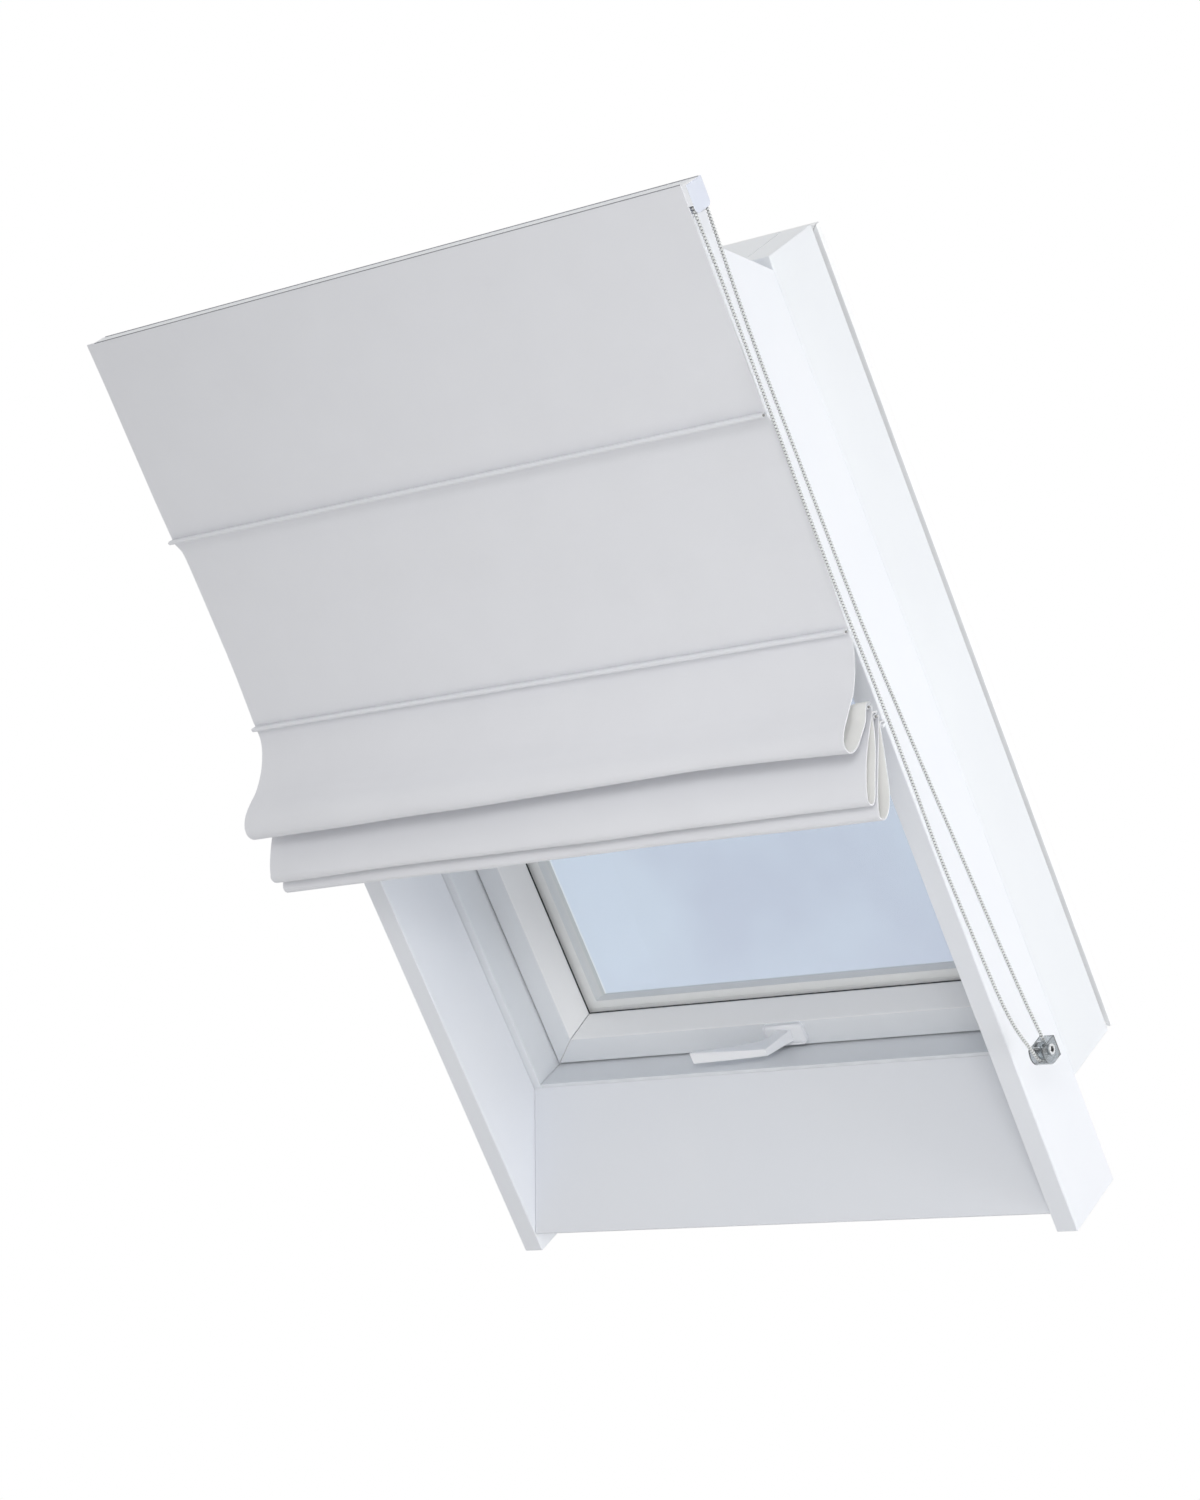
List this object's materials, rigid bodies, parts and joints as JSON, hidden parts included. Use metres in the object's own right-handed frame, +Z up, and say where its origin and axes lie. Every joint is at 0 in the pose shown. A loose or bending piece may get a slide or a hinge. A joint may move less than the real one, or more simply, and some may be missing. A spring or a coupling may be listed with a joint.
{
  "type": "skylight window blind",
  "caption": "Roman blind with chain drive on a top-hung roof window, with its sash, handle, lining boards and the blind's rods, headrail and chain tensioner.",
  "frame": {"origin": "middle of the window frame's outer top face", "axes": "+X to the right as seen from the room, +Z up, +Y outwards through the roof; the roof plane leans back at 54.5 degrees"},
  "size_m": [0.8701, 0.8492, 1.0424],
  "materials": {
    "board_paint": "satin paint",
    "window_pvc": "smooth white",
    "roof_cover": "coated pale grey",
    "glass": "clear",
    "seal": "black",
    "spacer": "pale",
    "fabric": "blackout weave, pale grey",
    "rail_white": "powder coated white",
    "white_plastic": "moulded white",
    "zinc": "zinc plated",
    "chain": "white beads",
    "clear_plastic": "clear moulded",
    "rod": "glass fibre rod"
  },
  "bodies": {
    "surround": {"lining_left": "board_paint", "lining_right": "board_paint", "lining_head": "board_paint", "lining_sill": "board_paint", "mounting_batten": "board_paint", "frame_left": "window_pvc", "frame_right": "window_pvc", "frame_top": "window_pvc", "frame_bottom": "window_pvc", "hinge_fixed_left": "zinc", "hinge_fixed_right": "zinc", "headrail": "rail_white", "end_cap_left": "white_plastic", "rail_bracket_left": "zinc", "rail_bracket_right": "zinc", "touch_strip": "white_plastic", "shaft_bearing_left": "white_plastic", "shaft_bearing_right": "white_plastic", "drive_housing": "white_plastic", "support_slat": "rail_white", "operating_chain": "chain", "tensioner_holder": "clear_plastic", "tensioner_screw": "zinc", "fabric_panel_1": "fabric"},
    "sash": {"sash_left": "window_pvc", "sash_right": "window_pvc", "sash_top": "window_pvc", "sash_bottom": "window_pvc", "glass_inner": "glass", "glass_outer": "glass", "glass_spacer": "spacer", "glazing_gasket": "seal", "cover_left": "roof_cover", "cover_right": "roof_cover", "cover_top": "roof_cover", "cover_bottom": "roof_cover", "hinge_moving_left": "zinc", "hinge_moving_right": "zinc", "handle_rosette": "white_plastic"},
    "handle": {"handle_lever": "white_plastic"},
    "shaft": {"lift_shaft": "zinc", "cord_spool_1": "white_plastic", "cord_spool_2": "white_plastic", "cord_spool_3": "white_plastic", "chain_sprocket": "white_plastic"},
    "chain_wheel": {"tensioner_wheel": "white_plastic"},
    "rod_one": {"rod_pocket_1": "fabric", "rod_1": "rod", "fabric_panel_2": "fabric"},
    "rod_two": {"rod_pocket_2": "fabric", "rod_2": "rod", "fabric_panel_3": "fabric"},
    "rod_three": {"rod_pocket_3": "fabric", "rod_3": "rod", "fabric_panel_4": "fabric"},
    "rod_four": {"rod_pocket_4": "fabric", "rod_4": "rod", "fabric_panel_5": "fabric"},
    "hem": {"hem_pocket": "fabric", "hem_bar": "rail_white"}
  },
  "joints": [
    {"name": "sash_open", "type": "hinge", "parent": "surround", "child": "sash", "pos_m": [0, 0.04969, 0.03814], "axis": [1, 0, 0], "range_deg": [0, 45]},
    {"name": "handle_turn", "type": "hinge", "parent": "sash", "child": "handle", "pos_m": [0, 0.53436, -0.75259], "axis": [0, 0.8141, 0.5807], "range_deg": [0, 90]},
    {"name": "shaft_turn", "type": "hinge", "parent": "surround", "child": "shaft", "pos_m": [0, -0.20263, -0.01556], "axis": [1, 0, 0], "range_deg": [0, 5401]},
    {"name": "chain_wheel_turn", "type": "hinge", "parent": "surround", "child": "chain_wheel", "pos_m": [0.4455, 0.36076, -0.81316], "axis": [1, 0, 0], "range_deg": [0, 5401]},
    {"name": "rod_one_lift", "type": "slide", "parent": "surround", "child": "rod_one", "axis": [0, 0.5807, -0.8141], "range_m": [-0.169, 0], "deforming": ["fabric_panel_1"]},
    {"name": "rod_two_lift", "type": "slide", "parent": "rod_one", "child": "rod_two", "axis": [0, 0.5807, -0.8141], "range_m": [-0.2271, 0], "deforming": ["fabric_panel_2"]},
    {"name": "rod_three_drop", "type": "slide", "parent": "rod_two", "child": "rod_three", "axis": [0, 0.5807, -0.8141], "range_m": [0, 0.161], "deforming": ["fabric_panel_3"]},
    {"name": "rod_four_drop", "type": "slide", "parent": "rod_three", "child": "rod_four", "axis": [0, 0.5807, -0.8141], "range_m": [0, 0.2281], "deforming": ["fabric_panel_4"]},
    {"name": "hem_drop", "type": "slide", "parent": "rod_four", "child": "hem", "axis": [0, 0.5807, -0.8141], "range_m": [0, 0.2281], "deforming": ["fabric_panel_5"]}
  ],
  "couplings": [
    {"joint": "rod_two_lift", "follows": "rod_one_lift", "ratio": 1.3432},
    {"joint": "rod_four_drop", "follows": "rod_three_drop", "ratio": 1.4161},
    {"joint": "hem_drop", "follows": "rod_three_drop", "ratio": 1.4161},
    {"joint": "shaft_turn", "follows": "rod_three_drop", "rad_per_m": 585.39},
    {"joint": "chain_wheel_turn", "follows": "rod_three_drop", "rad_per_m": 585.39}
  ]
}
